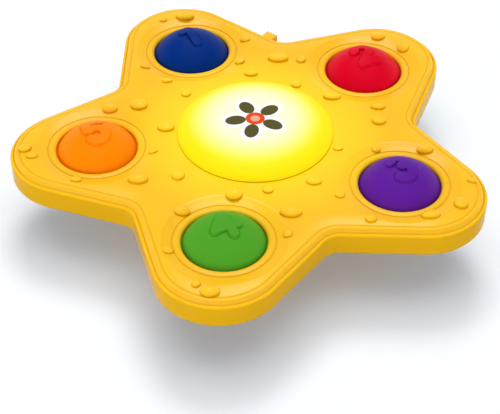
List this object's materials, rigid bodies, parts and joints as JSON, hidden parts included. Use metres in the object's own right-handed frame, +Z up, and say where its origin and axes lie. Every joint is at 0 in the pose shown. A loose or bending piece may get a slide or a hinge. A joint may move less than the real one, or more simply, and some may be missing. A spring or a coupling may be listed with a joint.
{
  "type": "suction cup toy",
  "caption": "Star-shaped musical toy with sprung domed buttons round a lit lens, a slide switch in its side wall and a suction cup that holds it on a tray.",
  "frame": {"origin": "on the axis of the suction cup, in the plane of the cup's sealing rim", "axes": "+Z up through the lens, +Y towards the blue button's arm, +X to the right of it"},
  "size_m": [0.196, 0.189, 0.0469],
  "materials": {
    "yellow_shell": "glossy moulded plastic",
    "lens": "glossy, translucent, lit from inside",
    "reflector": "satin white",
    "diode": "clear epoxy",
    "button_blue": "satin",
    "button_red": "satin",
    "button_purple": "satin",
    "button_green": "satin",
    "button_orange": "satin",
    "silicone": "matt silicone",
    "board": "lacquered laminate",
    "ribbon": "satin film",
    "steel": "plated",
    "chip": "matt resin",
    "capacitor": "printed sleeve without text",
    "cone_paper": "matt",
    "lead_wire": "satin sleeve",
    "cell": "plain sleeve",
    "switch_black": "matt",
    "cup_silicone": "soft, translucent"
  },
  "bodies": {
    "casing": {"top_shell": "yellow_shell", "bottom_shell": "yellow_shell", "battery_door": "yellow_shell", "light_lens": "lens", "light_reflector": "reflector", "leds": "diode", "arm_ribbons": "ribbon", "switch_ribbon": "ribbon", "main_board": "board", "board_screws": "steel", "sound_chip": "chip", "capacitors": "capacitor", "speaker_frame": "steel", "speaker_cone": "cone_paper", "speaker_magnet": "steel", "speaker_screws": "steel", "speaker_leads": "lead_wire", "battery_1": "cell", "battery_2": "cell", "battery_contacts": "steel", "battery_springs": "steel", "battery_leads": "lead_wire", "battery_door_screw": "steel", "case_screws": "steel", "switch_body": "switch_black", "suction_cup": "cup_silicone", "button_pad_1": "silicone", "arm_board_1": "board", "button_pad_2": "silicone", "arm_board_2": "board", "button_pad_3": "silicone", "arm_board_3": "board", "button_pad_4": "silicone", "arm_board_4": "board", "button_pad_5": "silicone", "arm_board_5": "board"},
    "blue_button": {"button_1_blue": "button_blue"},
    "red_button": {"button_2_red": "button_red"},
    "purple_button": {"button_3_purple": "button_purple"},
    "green_button": {"button_4_green": "button_green"},
    "orange_button": {"button_5_orange": "button_orange"},
    "power_knob": {"switch_knob": "yellow_shell"}
  },
  "joints": [
    {"name": "blue_press", "type": "slide", "parent": "casing", "child": "blue_button", "axis": [0, 0, -1], "range_m": [0, 0.002], "stiffness_N_per_m": 600, "deforming": ["button_pad_1"]},
    {"name": "red_press", "type": "slide", "parent": "casing", "child": "red_button", "axis": [0, 0, -1], "range_m": [0, 0.002], "stiffness_N_per_m": 600, "deforming": ["button_pad_2"]},
    {"name": "purple_press", "type": "slide", "parent": "casing", "child": "purple_button", "axis": [0, 0, -1], "range_m": [0, 0.002], "stiffness_N_per_m": 600, "deforming": ["button_pad_3"]},
    {"name": "green_press", "type": "slide", "parent": "casing", "child": "green_button", "axis": [0, 0, -1], "range_m": [0, 0.002], "stiffness_N_per_m": 600, "deforming": ["button_pad_4"]},
    {"name": "orange_press", "type": "slide", "parent": "casing", "child": "orange_button", "axis": [0, 0, -1], "range_m": [0, 0.002], "stiffness_N_per_m": 600, "deforming": ["button_pad_5"]},
    {"name": "power_slide", "type": "slide", "parent": "casing", "child": "power_knob", "axis": [-0.4467, 0.8947, 0], "range_m": [0, 0.006]}
  ]
}
